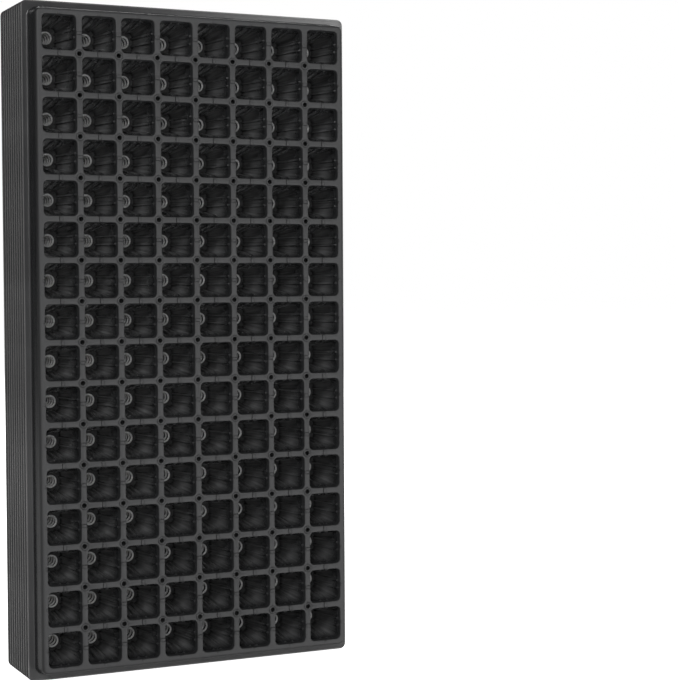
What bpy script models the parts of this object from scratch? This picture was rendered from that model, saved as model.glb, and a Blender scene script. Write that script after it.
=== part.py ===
"""A nested stack of ten 128-cell plug trays, standing on its short edge, as a Blender script.

Each tray is one thermoformed black plastic sheet: a flat deck with 8 x 16 square cells that taper
down to a drain hole, and a rim that steps back from the deck to a flat lip. The trays nest cell
into cell, and each one slides off the tray behind it, towards -Y.

Metres, +Z up, X across the eight columns, the open cells facing -Y. The origin is on the floor, in
the middle of the stack. The front and the rear tray have their cells. The eight trays between them
are their rims only, because their cells lie out of sight inside those of the trays behind.
"""

import math

import bpy
import bmesh
from mathutils import Vector
from mathutils.geometry import tessellate_polygon

# The stack
TRAYS = 10
NEST_PITCH = 0.0068

# One tray
COLUMNS = 8
ROWS = 16
CELL_PITCH = 0.0325
SHEET = 0.0007
LENGTH = 0.540
WIDTH = 0.280

# One cell
CELL_MOUTH = 0.028
CELL_FLOOR = 0.0156
CELL_DEPTH = 0.040
DRAIN_DIAMETER = 0.008
DRAIN_SIDES = 6

# The rim: a bevelled shoulder, a drafted wall and a flat lip
SHOULDER = 0.002
WALL_INSET = 0.0075
LIP_DEPTH = 0.016
WALL_CORNER_RADIUS = 0.005
LIP_CORNER_RADIUS = 0.005
CORNER_STEPS = 2

# The room round the outermost cells, where they pass through the rim of the tray behind
CELL_CLEARANCE = 0.0003

PLASTIC_COLOUR = (0.022, 0.023, 0.025, 1.0)
PLASTIC_ROUGHNESS = 0.42

STACK_DEPTH = (TRAYS - 1) * NEST_PITCH + CELL_DEPTH
# How far a cell's wall leans in for each metre of depth. The rim's wall leans out as much.
DRAFT = (CELL_MOUTH - CELL_FLOOR) / 2 / (CELL_DEPTH - SHEET)


def clear_scene():
    for obj in list(bpy.data.objects):
        bpy.data.objects.remove(obj, do_unlink=True)


def black_plastic(name):
    material = bpy.data.materials.new(name + "_plastic")
    material.use_nodes = True
    shader = material.node_tree.nodes["Principled BSDF"]
    shader.inputs["Base Color"].default_value = PLASTIC_COLOUR
    shader.inputs["Roughness"].default_value = PLASTIC_ROUGHNESS
    shader.inputs["Metallic"].default_value = 0.0
    return material


def rectangle(centre, width, height, depth):
    """The corners of a rectangle, at a depth behind the deck's front face."""
    x, z = centre
    corners = ((-1, -1), (1, -1), (1, 1), (-1, 1))
    return [(x + side_x * width / 2, depth, z + side_z * height / 2) for side_x, side_z in corners]


def drain(centre, depth):
    x, z = centre
    turns = [2 * math.pi * (step + 0.5) / DRAIN_SIDES for step in range(DRAIN_SIDES)]
    radius = DRAIN_DIAMETER / 2
    return [(x + radius * math.cos(turn), depth, z + radius * math.sin(turn)) for turn in turns]


def rounded_outline(inset, radius, depth):
    """A rounded rectangle, inset from the lip's outer edge."""
    points = []
    for quarter, (side_x, side_z) in enumerate(((1, 1), (-1, 1), (-1, -1), (1, -1))):
        centre_x = side_x * (WIDTH / 2 - inset - radius)
        centre_z = LENGTH / 2 + side_z * (LENGTH / 2 - inset - radius)
        for step in range(CORNER_STEPS + 1):
            turn = math.pi / 2 * (quarter + step / CORNER_STEPS)
            x = centre_x + radius * math.cos(turn)
            points.append((x, depth, centre_z + radius * math.sin(turn)))
    return points


def sheet_back(profile):
    """The same profile on the back of the sheet: each run moved back by its thickness."""
    moved = []
    for index, point in enumerate(profile):
        runs = [b - a for a, b in zip(profile[:-1], profile[1:])][max(index - 1, 0) : index + 1]
        normals = [Vector((run.y, -run.x)).normalized() for run in runs]
        mitre = (normals[0] + normals[-1]).normalized()
        moved.append(point + mitre * SHEET / mitre.dot(normals[0]))
    return moved


def rim_outlines():
    """The rim's outlines, from the deck's front face round the lip's edge to the deck's back."""
    deck_edge = WALL_INSET + SHOULDER
    foot_inset = WALL_INSET - (LIP_DEPTH - SHOULDER) * DRAFT
    front = [Vector(point) for point in ((2 * deck_edge, 0.0), (deck_edge, 0.0), (WALL_INSET, SHOULDER),
                                         (foot_inset, LIP_DEPTH), (0.0, LIP_DEPTH))]
    back = sheet_back(front)
    outlines = []
    for inset, depth in front[1:] + back[:0:-1]:
        on_edge = math.isclose(inset, 0.0, abs_tol=1e-9)
        radius = LIP_CORNER_RADIUS if on_edge else WALL_CORNER_RADIUS + WALL_INSET - inset
        outlines.append(rounded_outline(inset, radius, depth))
    return outlines


def cell_centres():
    for row in range(ROWS):
        for column in range(COLUMNS):
            x = (column - (COLUMNS - 1) / 2) * CELL_PITCH
            yield x, LENGTH / 2 + (row - (ROWS - 1) / 2) * CELL_PITCH


def cell_rings(centre):
    """A cell's rings: mouth, floor and drain on the front face, then drain, floor and mouth behind."""
    thickness = SHEET / math.cos(math.atan(DRAFT))
    mouth_back = CELL_MOUTH + 2 * (thickness - SHEET * DRAFT)
    floor_back = CELL_MOUTH + 2 * (thickness - CELL_DEPTH * DRAFT)
    return [
        rectangle(centre, CELL_MOUTH, CELL_MOUTH, 0.0),
        rectangle(centre, CELL_FLOOR, CELL_FLOOR, CELL_DEPTH - SHEET),
        drain(centre, CELL_DEPTH - SHEET),
        drain(centre, CELL_DEPTH),
        rectangle(centre, floor_back, floor_back, CELL_DEPTH),
        rectangle(centre, mouth_back, mouth_back, SHEET),
    ]


def opening_rings():
    """The one large opening of a tray that is only its rim."""
    width = COLUMNS * CELL_PITCH - (CELL_PITCH - CELL_MOUTH) + 2 * CELL_CLEARANCE
    height = ROWS * CELL_PITCH - (CELL_PITCH - CELL_MOUTH) + 2 * CELL_CLEARANCE
    centre = (0.0, LENGTH / 2)
    return [rectangle(centre, width, height, depth) for depth in (0.0, SHEET)]


def add_ring(bm, points):
    return [bm.verts.new(point) for point in points]


def add_wall(bm, ring_a, ring_b):
    for index in range(len(ring_a)):
        after = (index + 1) % len(ring_a)
        bm.faces.new((ring_a[index], ring_a[after], ring_b[after], ring_b[index]))


def add_plate(bm, edge, holes):
    """Fills the flat region between an outer ring and the rings of its holes."""
    rings = [edge] + holes
    verts = [vert for ring in rings for vert in ring]
    flat = [[Vector((vert.co.x, vert.co.z, 0.0)) for vert in ring] for ring in rings]
    for corners in tessellate_polygon(flat):
        bm.faces.new([verts[corner] for corner in corners])


def tray_mesh(name, with_cells):
    bm = bmesh.new()
    rim = [add_ring(bm, points) for points in rim_outlines()]
    for ring_a, ring_b in zip(rim[:-1], rim[1:]):
        add_wall(bm, ring_a, ring_b)
    front_holes = []
    back_holes = []
    if with_cells:
        for centre in cell_centres():
            mouth, floor, drain_in, drain_out, floor_back, mouth_back = (
                add_ring(bm, points) for points in cell_rings(centre)
            )
            add_wall(bm, mouth, floor)
            add_plate(bm, floor, [drain_in])
            add_wall(bm, drain_in, drain_out)
            add_plate(bm, floor_back, [drain_out])
            add_wall(bm, floor_back, mouth_back)
            front_holes.append(mouth)
            back_holes.append(mouth_back)
    else:
        front, back = (add_ring(bm, points) for points in opening_rings())
        add_wall(bm, front, back)
        front_holes.append(front)
        back_holes.append(back)
    add_plate(bm, rim[0], front_holes)
    add_plate(bm, rim[-1], back_holes)
    bmesh.ops.recalc_face_normals(bm, faces=bm.faces)
    mesh = bpy.data.meshes.new(name)
    bm.to_mesh(mesh)
    bm.free()
    return mesh


def tray_name(number):
    if number == 1:
        return "front_tray"
    if number == TRAYS:
        return "rear_tray"
    return f"nested_tray_{number:02d}"


def add_tray(number, mesh):
    name = tray_name(number)
    tray = bpy.data.objects.new(name, mesh)
    tray.location.y = (number - 1) * NEST_PITCH - STACK_DEPTH / 2
    bpy.context.scene.collection.objects.link(tray)
    # The material is the object's own, because the trays share their meshes.
    if not mesh.materials:
        mesh.materials.append(None)
    tray.material_slots[0].link = "OBJECT"
    tray.material_slots[0].material = black_plastic(name)
    return tray


def main():
    clear_scene()
    whole = tray_mesh("tray_with_cells", with_cells=True)
    rim_only = tray_mesh("tray_rim", with_cells=False)
    for number in range(1, TRAYS + 1):
        add_tray(number, whole if number in (1, TRAYS) else rim_only)


main()
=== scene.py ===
"""The looks of a stack of ten nested plug trays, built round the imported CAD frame.

Every tray is one closed, thin, moulded sheet: rounded cell mouths, ribs and small nubs on the cell
walls, lobed floors with a beaded drain hole, beaded holes where the webs cross, straps across the
webs, and a rounded shoulder, a drafted wall and a flat lip round the edge. Lengths are in metres.
A tray is built flat on its deck: x across the columns, z along the rows, y into the cells.
"""

import math

import bmesh
import bpy
import numpy as np
from mathutils import Matrix, Vector


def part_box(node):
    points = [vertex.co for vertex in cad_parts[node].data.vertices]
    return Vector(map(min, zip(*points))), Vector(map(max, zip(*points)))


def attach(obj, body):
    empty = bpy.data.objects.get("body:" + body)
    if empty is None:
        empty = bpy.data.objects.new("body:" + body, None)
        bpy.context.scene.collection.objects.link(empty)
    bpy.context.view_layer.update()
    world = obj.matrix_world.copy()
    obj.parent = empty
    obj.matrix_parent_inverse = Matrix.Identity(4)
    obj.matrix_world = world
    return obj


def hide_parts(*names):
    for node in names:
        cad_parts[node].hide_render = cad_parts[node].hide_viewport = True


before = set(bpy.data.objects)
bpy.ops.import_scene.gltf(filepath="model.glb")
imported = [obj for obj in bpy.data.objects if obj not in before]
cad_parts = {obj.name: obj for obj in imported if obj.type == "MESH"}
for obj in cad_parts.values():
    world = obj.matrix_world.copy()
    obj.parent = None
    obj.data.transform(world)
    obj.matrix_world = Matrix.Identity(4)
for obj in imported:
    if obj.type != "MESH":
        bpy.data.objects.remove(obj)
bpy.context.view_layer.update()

MM = 0.001

# The CAD's own sizes
COLUMNS = 8
ROWS = 16
CELL_PITCH = 32.5 * MM
CELL_MOUTH = 28.0 * MM
CELL_FLOOR = 15.6 * MM
CELL_DEPTH = 40.0 * MM
SHEET = 0.7 * MM
DRAIN_RADIUS = 4.0 * MM
LIP_DEPTH = 16.0 * MM
WALL_INSET = 7.5 * MM
SHOULDER = 2.0 * MM
WALL_CORNER = 5.0 * MM
LIP_CORNER = 5.0 * MM
FRONT_LOW, FRONT_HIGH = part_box("front_tray")
WIDTH = FRONT_HIGH.x - FRONT_LOW.x
LENGTH = FRONT_HIGH.z - FRONT_LOW.z
MIDDLE_Z = (FRONT_HIGH.z + FRONT_LOW.z) / 2

HALF_PITCH = CELL_PITCH / 2
FLOOR_DEPTH = CELL_DEPTH - SHEET
DRAFT = (CELL_MOUTH - CELL_FLOOR) / 2 / FLOOR_DEPTH
LEAN = math.atan(DRAFT)
# A drafted wall's thickness, measured level
WALL = SHEET / math.cos(LEAN)
# Half the turn from the deck down into a wall
HALF_BEND = (math.pi / 2 - LEAN) / 2
# The run from a corner to the start of a fillet in it, for a radius of 1
TANGENT = math.tan(HALF_BEND)

# Moulded details of a cell
MOUTH_CORNER = 3.5 * MM
MOUTH_FILLET = 0.35 * MM
FLOOR_CORNER = 3.3 * MM
RIB_PLACE = 3.15 * MM
RIB_HALF = 1.2 * MM
RIB_FLANK = 0.35 * MM
RIB_HEIGHT = 1.2 * MM
RIB_START = 6.6 * MM
RIB_FULL = 9.0 * MM
NUB_DEPTH = 4.4 * MM
NUB_HALF = 1.2 * MM
NUB_STEPS = (-1.0, -0.55, 0.55, 1.0)
NUB_DEPTHS = [NUB_DEPTH + step * NUB_HALF for step in NUB_STEPS]
NUB_HEIGHT = 1.3 * MM
NUB_DIMPLE = 0.4 * MM
# A bead's rings: radius, and how far it stands up from the face
DRAIN_BEAD = (
    (6.0 * MM, 0.0),
    (5.2 * MM, 0.45 * MM),
    (4.7 * MM, 0.5 * MM),
    (DRAIN_RADIUS, 0.15 * MM),
)
DRAIN_STEPS = 24

# Moulded details of the deck
STRAP_HALF = 1.3 * MM
STRAP_TOP = 0.95 * MM
STRAP_HEIGHT = 0.4 * MM
STRAP_GROOVE = 1.95 * MM
STRAP_GROOVE_DEPTH = 0.33 * MM
CROSSING_RADIUS = 3.7 * MM
CROSSING_BEAD = (
    (3.4 * MM, -0.3 * MM),
    (3.0 * MM, 0.35 * MM),
    (2.5 * MM, 0.45 * MM),
    (2.0 * MM, 0.15 * MM),
)
CROSSING_HOLE = 1.8 * MM
# How far down its edge a crossing's hole starts, as a share of the sheet
CROSSING_HOLE_START = 0.3
# How much of a strap's height is left on the mouth's fillet
STRAP_ON_FILLET = 0.6

# The rim
SHOULDER_RADIUS = 2.3 * MM
SHOULDER_STEPS = 4
FOOT_RADIUS = 1.0 * MM
FOOT_STEPS = 3
RIM_CORNER_STEPS = 6
RIM_SPACING = 10.0 * MM
CORNER_PULL = 0.9 * MM

WELD = 2e-6
QUARTER_TURN = np.array([[0, 1], [-1, 0]])
FULL_TURN = 2 * math.pi
SHARP_ANGLE = math.radians(48)


class Detail:
    """Where a cell's rings have their points: places along each side, and steps round each corner."""

    def __init__(self, places, corner_steps):
        self.places = np.array(sorted([-place for place in places] + list(places)))
        self.corner_steps = corner_steps

    def ring(self, side):
        """Four turned copies of a side and its corner, as one ring."""
        return np.vstack([side @ np.linalg.matrix_power(QUARTER_TURN, turn) for turn in range(4)])

    def square(self, half, radius):
        """A rounded square, anticlockwise from the side that faces down."""
        side = np.column_stack([self.places, np.full(len(self.places), -half)])
        angles = np.linspace(-math.pi / 2, 0, self.corner_steps + 1)
        arc = half - radius + radius * np.cos(angles), radius - half + radius * np.sin(angles)
        return self.ring(np.vstack([side, np.column_stack(arc)]))

    def tile(self, radius):
        """A cell's share of the deck: its square, with a quarter of a crossing's circle off each corner."""
        side = np.column_stack([self.places, np.full(len(self.places), -HALF_PITCH)])
        angles = np.linspace(math.pi, math.pi / 2, self.corner_steps + 1)
        arc = HALF_PITCH + radius * np.cos(angles), radius * np.sin(angles) - HALF_PITCH
        return self.ring(np.vstack([side, np.column_stack(arc)]))

    def across(self):
        """Each ring point's own place along its side, or a place past every detail at a corner."""
        corner = np.full(self.corner_steps + 1, HALF_PITCH)
        return np.tile(np.concatenate([self.places, corner]), 4)

    def inward(self):
        """Each ring point's direction towards the cell's middle, or none at a corner."""
        side = np.tile([[0.0, 1.0]], (len(self.places), 1))
        corner = np.zeros((self.corner_steps + 1, 2))
        return self.ring(np.vstack([side, corner]))


FINE = Detail([0.95 * MM, 1.3 * MM, 1.95 * MM, 2.45 * MM, 3.15 * MM, 3.85 * MM, 4.35 * MM], 3)
COARSE = Detail([1.95 * MM, 3.15 * MM, 4.35 * MM], 2)


def rise(value, start, end):
    """0 before start, 1 after end, straight between them."""
    return np.clip((value - start) / (end - start), 0.0, 1.0)


def wall_half(depth):
    return CELL_MOUTH / 2 - depth * DRAFT


def corner_radius(depth):
    return MOUTH_CORNER + (FLOOR_CORNER - MOUTH_CORNER) * depth / FLOOR_DEPTH


class Sheet:
    """Collects points and faces, and welds them into one mesh."""

    def __init__(self):
        self.points = []
        self.faces = []
        self.count = 0

    def add(self, points):
        """Stores (n, 3) points and gives back their numbers."""
        points = np.asarray(points, float)
        self.points.append(points)
        self.count += len(points)
        return np.arange(self.count - len(points), self.count)

    def add_faces(self, faces):
        faces = np.asarray(faces, int)
        if faces.shape[1] == 3:
            faces = np.column_stack([faces, faces[:, 2]])
        self.faces.append(faces)

    def walls(self, rings):
        """Quads from each closed ring to the next, all with as many points."""
        for a, b in zip(rings[:-1], rings[1:]):
            self.add_faces(np.column_stack([a, np.roll(a, -1), np.roll(b, -1), b]))

    def join(self, ring_a, ring_b):
        """Triangles between two closed rings of any counts, both going the same way round the origin."""
        points = np.vstack(self.points)
        angle_a, angle_b = (np.arctan2(points[ring, 2], points[ring, 0]) for ring in (ring_a, ring_b))
        first = int(np.argmin((angle_b - angle_a[0]) % FULL_TURN))
        ring_b, angle_b = np.roll(ring_b, -first), np.roll(angle_b, -first)
        turn_a = np.unwrap(angle_a) - angle_a[0]
        turn_b = np.unwrap(angle_b) - angle_b[0] + (angle_b[0] - angle_a[0]) % FULL_TURN
        turn_a, turn_b = (np.append(turn, turn[0] + FULL_TURN) for turn in (turn_a, turn_b))
        i = j = 0
        faces = []
        while i < len(ring_a) or j < len(ring_b):
            here_a, here_b = ring_a[i % len(ring_a)], ring_b[j % len(ring_b)]
            if j == len(ring_b) or (i < len(ring_a) and turn_a[i + 1] <= turn_b[j + 1]):
                i += 1
                faces.append((here_a, ring_a[i % len(ring_a)], here_b))
            else:
                j += 1
                faces.append((here_a, ring_b[j % len(ring_b)], here_b))
        self.add_faces(faces)

    def copies(self, other, offsets):
        """Adds another sheet's mesh at each offset."""
        points, faces = np.vstack(other.points), np.vstack(other.faces)
        for offset in offsets:
            first = self.add(points + offset)[0]
            self.add_faces(faces + first)

    def mesh(self, name):
        points = np.vstack(self.points)
        _, first, index = np.unique(
            np.round(points / WELD).astype(np.int64), axis=0, return_index=True, return_inverse=True
        )
        points, faces = points[first], index.reshape(-1)[np.vstack(self.faces)]
        kept = []
        for face in faces.tolist():
            corners = [c for n, c in enumerate(face) if c != face[n - 1]]
            if len(set(corners)) > 2:
                kept.append(corners)
        mesh = bpy.data.meshes.new(name)
        mesh.from_pydata(points.tolist(), [], kept)
        bm = bmesh.new()
        bm.from_mesh(mesh)
        bmesh.ops.recalc_face_normals(bm, faces=bm.faces)
        bm.to_mesh(mesh)
        bm.free()
        mesh.shade_smooth()
        mesh.set_sharp_from_angle(angle=SHARP_ANGLE)
        return mesh


def ring_at(flat, depth):
    """(x, z) points at a depth, or at a depth for each point."""
    return np.column_stack([flat[:, 0], np.broadcast_to(depth, len(flat)), flat[:, 1]])


def cell_wall(detail, depth, half, radius, nub_height=0.0):
    """A ring on a cell's wall, pushed in where its ribs and nubs are."""
    from_rib = np.abs(np.abs(detail.across()) - RIB_PLACE)
    rib = rise(depth, RIB_START, RIB_FULL) * rise(-from_rib, -RIB_HALF, RIB_FLANK - RIB_HALF)
    nub = np.sqrt(np.clip(1 - (from_rib ** 2 + (depth - NUB_DEPTH) ** 2) / NUB_HALF ** 2, 0, 1))
    push = rib * RIB_HEIGHT + nub * nub_height
    return ring_at(detail.square(half, radius) + detail.inward() * push[:, None], depth)


def circle(radius, depth, steps):
    angles = np.arange(steps) * FULL_TURN / steps
    return ring_at(np.column_stack([radius * np.cos(angles), radius * np.sin(angles)]), depth)


def strap(detail):
    """How far the deck stands up at each ring point, where a strap crosses the web between grooves."""
    across = np.abs(detail.across())
    groove = rise(-across, -STRAP_GROOVE, -STRAP_HALF) * STRAP_GROOVE_DEPTH
    return (STRAP_HEIGHT + STRAP_GROOVE_DEPTH) * rise(-across, -STRAP_HALF, -STRAP_TOP) - groove


def front_of_cell(detail, fine):
    """The front face of one cell and its share of the deck, and the drain's inner edge."""
    sheet = Sheet()
    top = -strap(detail) if fine else 0.0
    flat_run = MOUTH_FILLET * TANGENT
    half = CELL_MOUTH / 2
    rings = [
        ring_at(detail.tile(CROSSING_RADIUS), top),
        ring_at(detail.square(half + flat_run, MOUTH_CORNER + flat_run), top),
    ]
    if fine:
        inset = MOUTH_FILLET * math.sin(HALF_BEND) - flat_run
        drop = MOUTH_FILLET * (1 - math.cos(HALF_BEND))
        rings.append(ring_at(detail.square(half - inset, MOUTH_CORNER - inset), drop + top * STRAP_ON_FILLET))
    depths = [flat_run * math.cos(LEAN)]
    if fine:
        depths += NUB_DEPTHS
    depths += [RIB_START, RIB_FULL, FLOOR_DEPTH]
    for depth in depths:
        rings.append(cell_wall(detail, depth, wall_half(depth), corner_radius(depth), NUB_HEIGHT))
    numbers = [sheet.add(ring) for ring in rings]
    sheet.walls(numbers)
    bead = [sheet.add(circle(radius, FLOOR_DEPTH - up, DRAIN_STEPS)) for radius, up in DRAIN_BEAD]
    sheet.join(numbers[-1], bead[0])
    sheet.walls(bead + [sheet.add(circle(DRAIN_RADIUS, CELL_DEPTH, DRAIN_STEPS))])
    return sheet


def back_of_cell(detail, fine):
    """The back face of one cell and its share of the deck, as far as the drain's outer edge."""
    sheet = Sheet()
    rings = [ring_at(detail.tile(CROSSING_RADIUS), SHEET)]
    depths = [SHEET]
    if fine:
        depths += NUB_DEPTHS
    edge_run = SHEET * TANGENT
    depths += [RIB_START, RIB_FULL, CELL_DEPTH - edge_run * math.cos(LEAN)]
    for depth in depths:
        half, radius = wall_half(depth) + WALL, corner_radius(depth) + WALL
        rings.append(cell_wall(detail, depth, half, radius, NUB_DIMPLE))
    floor = cell_wall(
        detail, CELL_DEPTH, wall_half(CELL_DEPTH) + WALL - edge_run, FLOOR_CORNER + WALL - edge_run
    )
    rings.append(floor)
    numbers = [sheet.add(ring) for ring in rings]
    sheet.walls(numbers)
    sheet.join(numbers[-1], sheet.add(circle(DRAIN_RADIUS, CELL_DEPTH, DRAIN_STEPS)))
    return sheet


def cell_middles():
    for row in range(ROWS):
        for column in range(COLUMNS):
            x = (column - (COLUMNS - 1) / 2) * CELL_PITCH
            yield np.array([x, 0.0, (row - (ROWS - 1) / 2) * CELL_PITCH])


HALF_GRID = np.array([COLUMNS, ROWS]) * HALF_PITCH


def settle(points, level):
    """Lays the grid's outer edge flat, and pulls its four corners in, under the rim's rounding."""
    size = np.abs(points[:, [0, 2]])
    on_edge = size > HALF_GRID - WELD
    outer = on_edge.any(axis=1)
    shallow = points[:, 1] < 2 * SHEET
    points[outer & shallow, 1] = level
    corner = on_edge.all(axis=1)
    points[np.ix_(corner, [0, 2])] -= np.sign(points[np.ix_(corner, [0, 2])]) * CORNER_PULL
    return points


def grid_edge(detail, level):
    """The grid's outer edge as a closed ring, anticlockwise from its lower left corner."""
    reach = HALF_PITCH - CROSSING_RADIUS
    stops = np.concatenate([[-HALF_PITCH, -reach], detail.places, [reach]])
    ring = []
    for side in range(4):
        count = (COLUMNS, ROWS)[side % 2]
        along = np.concatenate([(n - (count - 1) / 2) * CELL_PITCH + stops for n in range(count)])
        out = np.full(len(along), -HALF_GRID[1 - side % 2])
        turned = [(along, out), (-out, along), (-along, -out), (out, -along)][side]
        ring.append(np.column_stack(turned))
    return settle(ring_at(np.vstack(ring), level), level)


def border_corners(detail, level):
    """Fans that fill the corners of the outermost cells' tiles, where the webs cross with no hole."""
    steps = 4 * detail.corner_steps
    angles = np.arange(steps) * FULL_TURN / steps
    for column in range(COLUMNS + 1):
        for row in range(ROWS + 1):
            if 0 < column < COLUMNS and 0 < row < ROWS:
                continue
            at = np.array([column, row]) * CELL_PITCH - HALF_GRID
            for step in range(steps):
                turns = angles[[step, (step + 1) % steps]]
                arc = at + CROSSING_RADIUS * np.column_stack([np.cos(turns), np.sin(turns)])
                if (np.abs(arc) < HALF_GRID + WELD).all():
                    yield settle(ring_at(np.vstack([at, arc]), level), level)


def rounded_outline(inset, radius, depth):
    """A rounded rectangle round the tray, inset from the lip's outer edge."""
    ring = []
    for side in range(4):
        long, short = (WIDTH, LENGTH) if side % 2 == 0 else (LENGTH, WIDTH)
        reach = long / 2 - inset - radius
        count = round(long / RIM_SPACING)
        along = np.linspace(-reach, reach, count + 1)[:-1]
        line = np.column_stack([along, np.full(count, inset - short / 2)])
        angles = np.linspace(-math.pi / 2, 0, RIM_CORNER_STEPS + 1)[:-1]
        arc = np.column_stack([reach + radius * np.cos(angles), radius * (1 + np.sin(angles))])
        arc[:, 1] += inset - short / 2
        ring.append(np.vstack([line, arc]) @ np.linalg.matrix_power(QUARTER_TURN, side))
    return ring_at(np.vstack(ring), depth)


def fillet(corner, before, after, radius, steps):
    """Points round a corner of the rim's profile."""
    corner = Vector(corner)
    into, out = (corner - Vector(before)).normalized(), (Vector(after) - corner).normalized()
    turn = into.angle(out)
    run = radius * math.tan(turn / 2)
    start, centre_way = corner - into * run, (out - into).normalized()
    centre = corner + centre_way * (radius / math.cos(turn / 2))
    side = 1 if into.x * out.y - into.y * out.x > 0 else -1
    points = []
    for step in range(steps + 1):
        spun = Matrix.Rotation(side * turn * step / steps, 2) @ (start - centre)
        points.append(centre + spun)
    return points


def sheet_back(profile):
    """The same profile on the back of the sheet: each run moved back by its thickness."""
    moved = []
    for index, point in enumerate(profile):
        runs = [b - a for a, b in zip(profile[:-1], profile[1:])][max(index - 1, 0) : index + 1]
        normals = [Vector((run.y, -run.x)).normalized() for run in runs]
        mitre = (normals[0] + normals[-1]).normalized()
        moved.append(point + mitre * SHEET / mitre.dot(normals[0]))
    return moved


def rim_rings():
    """The rim's rings, from the deck's front face round the lip's edge to the deck's back."""
    shoulder = WALL_INSET + SHOULDER * DRAFT, 0.0
    foot = WALL_INSET - (LIP_DEPTH - SHOULDER) * DRAFT, LIP_DEPTH
    deck, edge = Vector((WIDTH / 2, 0.0)), Vector((0.0, LIP_DEPTH))
    front = [deck] + fillet(shoulder, deck, foot, SHOULDER_RADIUS, SHOULDER_STEPS)
    front += fillet(foot, shoulder, edge, FOOT_RADIUS, FOOT_STEPS) + [edge]
    rings = []
    for inset, depth in front[1:] + sheet_back(front)[:0:-1]:
        radius = WALL_CORNER + WALL_INSET - inset
        if inset < FOOT_RADIUS:
            radius = LIP_CORNER
        rings.append(rounded_outline(inset, radius, depth))
    return rings


def tray_mesh(name, front_fine, back_fine):
    sheet = Sheet()
    front, back = (FINE if front_fine else COARSE), (FINE if back_fine else COARSE)
    sheet.copies(front_of_cell(front, front_fine), cell_middles())
    sheet.copies(back_of_cell(back, back_fine), cell_middles())
    for points in sheet.points:
        # The straps' grooves are shallower than half the sheet, so they count with the front face
        low = points[:, 1] < SHEET / 2
        points[low] = settle(points[low], 0.0)
        points[~low] = settle(points[~low], SHEET)
    beads = Sheet()
    steps = [4 * front.corner_steps, 4 * back.corner_steps]
    bead = ((CROSSING_RADIUS, 0.0), *CROSSING_BEAD, (CROSSING_HOLE, -CROSSING_HOLE_START * SHEET))
    front_rings = [beads.add(circle(radius, -up, steps[0])) for radius, up in bead]
    back_radii = CROSSING_HOLE, CROSSING_RADIUS
    back_rings = [beads.add(circle(radius, SHEET, steps[1])) for radius in back_radii]
    beads.walls(front_rings)
    beads.join(front_rings[-1], back_rings[0])
    beads.walls(back_rings)
    crossings = [
        np.array([column * CELL_PITCH - HALF_GRID[0], 0.0, row * CELL_PITCH - HALF_GRID[1]])
        for column in range(1, COLUMNS)
        for row in range(1, ROWS)
    ]
    sheet.copies(beads, crossings)
    rim = [sheet.add(ring) for ring in rim_rings()]
    sheet.walls(rim)
    for detail, level, edge in ((front, 0.0, rim[0]), (back, SHEET, rim[-1])):
        sheet.join(sheet.add(grid_edge(detail, level)), edge)
        for corner in border_corners(detail, level):
            sheet.add_faces([sheet.add(corner)])
    return sheet.mesh(name)


# The plastic's own tone on the deck, its painted shade, painted light and painted highlights by place, and
# its roughness
DECK_TONE = (0.0125, 0.0127, 0.0132, 1.0)
# Painted shade: the walls near the mouths, the grooves and fillets just below the deck, and the rim's
# shoulder and wall are darker than the deck
WALL_PAINTED_SHADE = (0.0085, 0.0087, 0.0091, 1.0)
# Painted light: the cells' walls lighten with depth, to far lighter than the deck
DEEP_PAINTED_LIGHT = (0.052, 0.0524, 0.053, 1.0)
# Painted shading: the cells' floors are darker than the deep walls and lighter than the deck
FLOOR_PAINTED_SHADING = (0.022, 0.0222, 0.0226, 1.0)
# Painted highlight: a pale ring round each drain, on its bead and hole
DRAIN_PAINTED_HIGHLIGHT = (0.34, 0.34, 0.34, 1.0)
# Painted light: the lip's faces are lighter than the deck and the rim's wall
LIP_PAINTED_SHADING = (0.022, 0.0222, 0.0228, 1.0)
# Painted highlight: a pale band along the lip's outer edge
CUT_EDGE_PAINTED_HIGHLIGHT = (0.07, 0.07, 0.07, 1.0)
DECK_ROUGHNESS = 0.58
WALL_ROUGHNESS = 0.21
# Depths, and distances from the drain's middle and from the lip's outer edge, between which the sheet goes
# from one tone to the next: the deck's own tone, then painted shade, painted light and painted highlights.
# The gloss depths change the roughness and where the streaks are
PAINTED_TONE_DEPTHS = (0.1 * MM, 0.4 * MM)
GLOSS_DEPTHS = (1.0 * MM, 5.0 * MM)
PAINTED_LIGHT_DEPTHS = (7.0 * MM, 26.0 * MM)
FLOOR_DEPTHS = (34.0 * MM, 38.5 * MM)
DRAIN_HIGHLIGHT_REACH = (5.5 * MM, 5.0 * MM)
LIP_DEPTHS = (14.0 * MM, 15.5 * MM)
CUT_HIGHLIGHT_REACH = (1.2 * MM, 0.6 * MM)
# The noises' scales. The streaks are measured from each cell's middle, and close up as the cell narrows
CLOUD_SCALE = 14.0
FLOW_SCALE = 160.0
PEBBLE_SCALE = 1400.0
PEBBLE_DETAIL = 2.0
STREAK_SCALE = 620.0
STREAK_DETAIL = 3.0
NOISE_ROUGHNESS = 0.55
STREAK_ROUGHNESS = 0.6
# How much a streak changes with depth, against how much it changes round the wall
STREAK_DRIFT = 0.03
# A number of its own for each cell: a row's step is no whole number of columns
ROW_STEP = COLUMNS + 0.3
# What the noises do. The tone's factor is the cloud's value plus, on the walls, the streak's. Each goes from
# its first value to its second over its noise's range. Roughness and bump change as much down as up
STREAK_TONES = (-0.3, 0.5)
STREAK_RANGE = (0.35, 0.65)
CLOUD_TONES = (0.85, 1.15)
CLOUD_RANGE = (0.3, 0.7)
CLOUD_GLOSS = 0.04
FLOW_GLOSS = 0.05
PEBBLE_BUMP = 0.1
STREAK_BUMP = 0.5
BUMP_STRENGTH = 0.25
BUMP_DISTANCE = 0.3 * MM
PLASTIC_IOR = 1.5
PLASTIC_SPECULAR = 0.28


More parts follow.
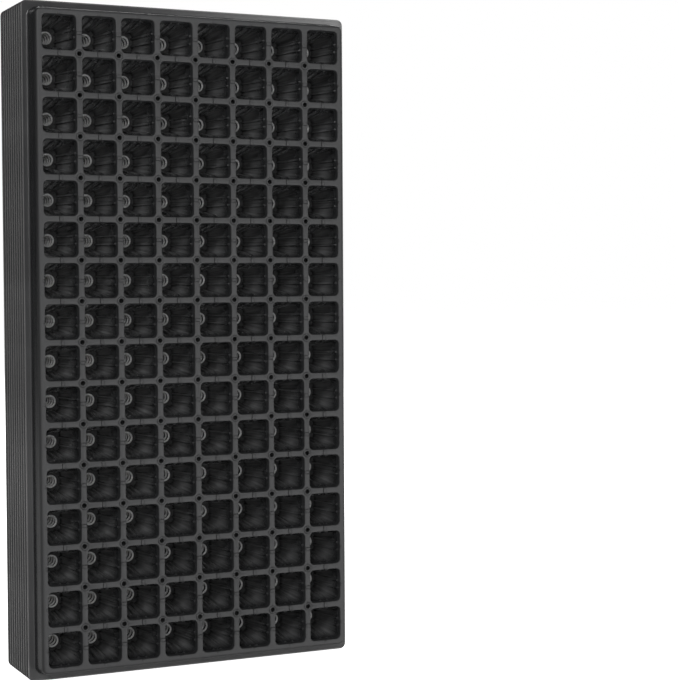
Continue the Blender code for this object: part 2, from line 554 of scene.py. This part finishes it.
def node(tree, kind, inputs=None, **settings):
    made = tree.nodes.new(kind)
    for key, value in settings.items():
        setattr(made, key, value)
    for key, value in (inputs or {}).items():
        if hasattr(value, "is_output"):
            tree.links.new(value, made.inputs[key])
        else:
            made.inputs[key].default_value = value
    return made


def ramp(tree, value, low, high, from_low=0.0, from_high=1.0):
    """value, mapped straight from one range to another."""
    inputs = {"Value": value, "From Min": from_low, "From Max": from_high, "To Min": low, "To Max": high}
    return node(tree, "ShaderNodeMapRange", inputs).outputs["Result"]


def black_plastic():
    """Black thermoformed sheet: satin on the deck, glossier and streaked where it was drawn into walls, with
    painted shade, painted light and painted highlights in its colour by place.
    """
    material = bpy.data.materials.new("black_plastic")
    material.use_nodes = True
    tree = material.node_tree
    shader = tree.nodes["Principled BSDF"]
    place = node(tree, "ShaderNodeTexCoord").outputs["Object"]
    across, depth, along = node(tree, "ShaderNodeSeparateXYZ", {"Vector": place}).outputs

    def maths(operation, *values):
        return node(tree, "ShaderNodeMath", dict(enumerate(values)), operation=operation).outputs[0]

    def noise(scale, detail=4.0):
        inputs = {"Vector": place, "Scale": scale, "Detail": detail, "Roughness": NOISE_ROUGHNESS}
        return node(tree, "ShaderNodeTexNoise", inputs).outputs["Fac"]

    def blended(factor, a, b):
        mix = node(tree, "ShaderNodeMix", {"Factor": factor}, data_type="RGBA")
        for name, colour in (("A", a), ("B", b)):
            if isinstance(colour, tuple):
                mix.inputs[name].default_value = colour
            else:
                tree.links.new(colour, mix.inputs[name])
        return mix.outputs["Result"]

    def stage_of(value, ends):
        return ramp(tree, value, 0.0, 1.0, *ends)

    # Streaks run down each cell's walls, and close up as the cell narrows
    narrowing = ramp(tree, depth, 1.0, CELL_FLOOR / CELL_MOUTH, 0.0, FLOOR_DEPTH)
    in_cell = [
        maths("SUBTRACT", maths("WRAP", value, CELL_PITCH, 0.0), HALF_PITCH)
        for value in (across, along)
    ]
    spots = [maths("DIVIDE", value, narrowing) for value in in_cell]
    drift = maths("MULTIPLY", depth, STREAK_DRIFT)
    spot = node(tree, "ShaderNodeCombineXYZ", {"X": spots[0], "Y": drift, "Z": spots[1]}).outputs[0]
    column, row = (maths("FLOOR", maths("DIVIDE", value, CELL_PITCH)) for value in (across, along))
    cell = maths("MULTIPLY_ADD", row, ROW_STEP, column)
    inputs = {
        "Vector": spot,
        "W": cell,
        "Scale": STREAK_SCALE,
        "Detail": STREAK_DETAIL,
        "Roughness": STREAK_ROUGHNESS,
    }
    streak = node(tree, "ShaderNodeTexNoise", inputs, noise_dimensions="4D").outputs["Fac"]

    cloud, flow, pebble = noise(CLOUD_SCALE), noise(FLOW_SCALE), noise(PEBBLE_SCALE, PEBBLE_DETAIL)
    # The first ramp starts the painted tones just below the deck, and the third is the painted light down the
    # cells' walls
    edge, drawn, painted_deep_light = (stage_of(depth, ends) for ends in (PAINTED_TONE_DEPTHS, GLOSS_DEPTHS, PAINTED_LIGHT_DEPTHS))
    on_grid = maths(
        "MULTIPLY",
        maths("LESS_THAN", maths("ABSOLUTE", across), COLUMNS * HALF_PITCH),
        maths("LESS_THAN", maths("ABSOLUTE", along), ROWS * HALF_PITCH),
    )
    walls = maths("MULTIPLY", drawn, on_grid)
    on_floor = stage_of(depth, FLOOR_DEPTHS)
    along_squared = maths("MULTIPLY", in_cell[1], in_cell[1])
    from_drain = maths("SQRT", maths("MULTIPLY_ADD", in_cell[0], in_cell[0], along_squared))
    # Painted highlight round each drain on the floor
    drain_highlight = maths("MULTIPLY", stage_of(from_drain, DRAIN_HIGHLIGHT_REACH), on_floor)
    # Painted shade near the mouths, giving way to painted light deeper down the walls
    tone = blended(painted_deep_light, WALL_PAINTED_SHADE, DEEP_PAINTED_LIGHT)
    off_grid = maths("SUBTRACT", 1.0, on_grid)
    on_lip = maths("MULTIPLY", stage_of(depth, LIP_DEPTHS), off_grid)
    # Distance from the lip's outer edge, for its painted highlight
    from_cut = maths(
        "MINIMUM",
        maths("SUBTRACT", WIDTH / 2, maths("ABSOLUTE", across)),
        maths("SUBTRACT", LENGTH / 2, maths("ABSOLUTE", along)),
    )
    # Painted shade: the rim's shoulder and drafted wall take the dark wall tone
    tone = blended(off_grid, tone, WALL_PAINTED_SHADE)
    # Painted shading on the floors and the lip's faces, and painted highlights round the drains and along the
    # lip's outer edge
    painted_tones = (
        (on_floor, FLOOR_PAINTED_SHADING),
        (drain_highlight, DRAIN_PAINTED_HIGHLIGHT),
        (on_lip, LIP_PAINTED_SHADING),
        (stage_of(from_cut, CUT_HIGHLIGHT_REACH), CUT_EDGE_PAINTED_HIGHLIGHT),
    )
    for share, colour in painted_tones:
        tone = blended(share, tone, colour)
    # The deck keeps the plastic's own tone. Just below it the painted tones begin, which paints a dark shade
    # line along the grooves and the mouths' fillets
    tone = blended(edge, DECK_TONE, tone)
    streaked = maths("MULTIPLY", ramp(tree, streak, *STREAK_TONES, *STREAK_RANGE), walls)
    worn = maths("ADD", ramp(tree, cloud, *CLOUD_TONES, *CLOUD_RANGE), streaked)
    shade = node(tree, "ShaderNodeHueSaturation", {"Color": tone, "Value": worn})
    tree.links.new(shade.outputs[0], shader.inputs["Base Color"])
    cloudy = ramp(tree, cloud, -CLOUD_GLOSS, CLOUD_GLOSS)
    uneven = maths("ADD", cloudy, ramp(tree, flow, -FLOW_GLOSS, FLOW_GLOSS))
    roughness = maths("ADD", uneven, ramp(tree, drawn, DECK_ROUGHNESS, WALL_ROUGHNESS))
    tree.links.new(roughness, shader.inputs["Roughness"])
    scored = maths("MULTIPLY", ramp(tree, streak, -STREAK_BUMP, STREAK_BUMP), walls)
    grain = maths("ADD", ramp(tree, pebble, -PEBBLE_BUMP, PEBBLE_BUMP), scored)
    inputs = {
        "Height": maths("ADD", flow, grain),
        "Strength": BUMP_STRENGTH,
        "Distance": BUMP_DISTANCE,
    }
    bump = node(tree, "ShaderNodeBump", inputs)
    tree.links.new(bump.outputs["Normal"], shader.inputs["Normal"])
    shader.inputs["Metallic"].default_value = 0.0
    shader.inputs["IOR"].default_value = PLASTIC_IOR
    shader.inputs["Specular IOR Level"].default_value = PLASTIC_SPECULAR
    return material


def add_trays():
    plastic = black_plastic()
    front = tray_mesh("front_tray_sheet", True, False)
    nested = tray_mesh("nested_tray_sheet", False, False)
    rear = tray_mesh("rear_tray_sheet", False, True)
    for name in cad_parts:
        mesh = {"front_tray": front, "rear_tray": rear}.get(name, nested)
        if not mesh.materials:
            mesh.materials.append(plastic)
        tray = bpy.data.objects.new(name + "_sheet", mesh)
        tray.location = (0.0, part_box(name)[0].y, MIDDLE_Z)
        bpy.context.scene.collection.objects.link(tray)
        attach(tray, name)
        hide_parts(name)


WHITE = (1.0, 1.0, 1.0, 1.0)
FLOOR_SIZE = 40.0
FLOOR_COLOUR = (0.92, 0.92, 0.92, 1.0)
FLOOR_ROUGHNESS = 0.9
CAMERA_AT = (-0.50501, -1.36935, 0.31810)
CAMERA_TO = (0.12836, -0.05060, 0.26729)
CAMERA_ROLL = math.radians(-0.316)
CAMERA_LENS = 91.29
CAMERA_SENSOR = 36.0
CAMERA_CLIP = (0.01, 100.0)
AMBIENT = 0.03
FLOOR_GLOW = 0.97
# Name, place, size, watts. All look at the stack's middle, and the low ones shine through the floor
LIGHTS = (
    ("key", (-2.0, -2.6, 2.2), 1.2, 145.0),
    ("front", (-0.8, -3.3, 0.9), 0.9, 26.0),
    ("low_right", (1.6, -2.4, -0.8), 1.0, 75.0),
    ("low_middle", (0.3, -2.9, -0.9), 1.0, 16.0),
    ("high_right", (1.6, -2.4, 1.4), 1.0, 30.0),
    ("back", (1.2, 3.0, 2.4), 2.0, 120.0),
)


def add_stage():
    bm = bmesh.new()
    bmesh.ops.create_grid(bm, x_segments=1, y_segments=1, size=FLOOR_SIZE / 2)
    mesh = bpy.data.meshes.new("floor")
    bm.to_mesh(mesh)
    bm.free()
    floor = bpy.data.objects.new("floor", mesh)
    bpy.context.scene.collection.objects.link(floor)
    pale = bpy.data.materials.new("pale_floor")
    pale.use_nodes = True
    shader = pale.node_tree.nodes["Principled BSDF"]
    shader.inputs["Base Color"].default_value = FLOOR_COLOUR
    shader.inputs["Roughness"].default_value = FLOOR_ROUGHNESS
    shader.inputs["Emission Color"].default_value = WHITE
    # The floor's glow is for the camera only: the stack gets the lamps' light off the floor, and not the glow
    seen = node(pale.node_tree, "ShaderNodeLightPath").outputs["Is Camera Ray"]
    glow = ramp(pale.node_tree, seen, 0.0, FLOOR_GLOW)
    pale.node_tree.links.new(glow, shader.inputs["Emission Strength"])
    mesh.materials.append(pale)
    # The low lamps reach the stack through the floor
    floor.visible_shadow = False


def aimed(obj, at, to, roll=0.0):
    turn = (Vector(to) - Vector(at)).to_track_quat("-Z", "Y").to_matrix()
    obj.matrix_world = Matrix.LocRotScale(Vector(at), turn @ Matrix.Rotation(roll, 3, "Z"), None)
    bpy.context.scene.collection.objects.link(obj)


def add_lights():
    world = bpy.data.worlds.new("studio")
    world.use_nodes = True
    background = world.node_tree.nodes["Background"]
    background.inputs["Color"].default_value = WHITE
    # The backdrop shows white, and lights the stack softly
    seen = node(world.node_tree, "ShaderNodeLightPath").outputs["Is Camera Ray"]
    world.node_tree.links.new(ramp(world.node_tree, seen, AMBIENT, 1.0), background.inputs["Strength"])
    bpy.context.scene.world = world
    for name, at, size, watts in LIGHTS:
        light = bpy.data.lights.new(name, "AREA")
        light.size, light.energy = size, watts
        lamp = bpy.data.objects.new(name, light)
        lamp.visible_camera = False
        aimed(lamp, at, (0.0, 0.0, MIDDLE_Z))


def add_camera():
    camera = bpy.data.cameras.new("camera")
    camera.lens, camera.sensor_width = CAMERA_LENS, CAMERA_SENSOR
    camera.clip_start, camera.clip_end = CAMERA_CLIP
    eye = bpy.data.objects.new("camera", camera)
    aimed(eye, CAMERA_AT, CAMERA_TO, CAMERA_ROLL)
    bpy.context.scene.camera = eye


add_camera()
add_trays()
add_stage()
add_lights()
bpy.context.scene.view_settings.view_transform = "Standard"
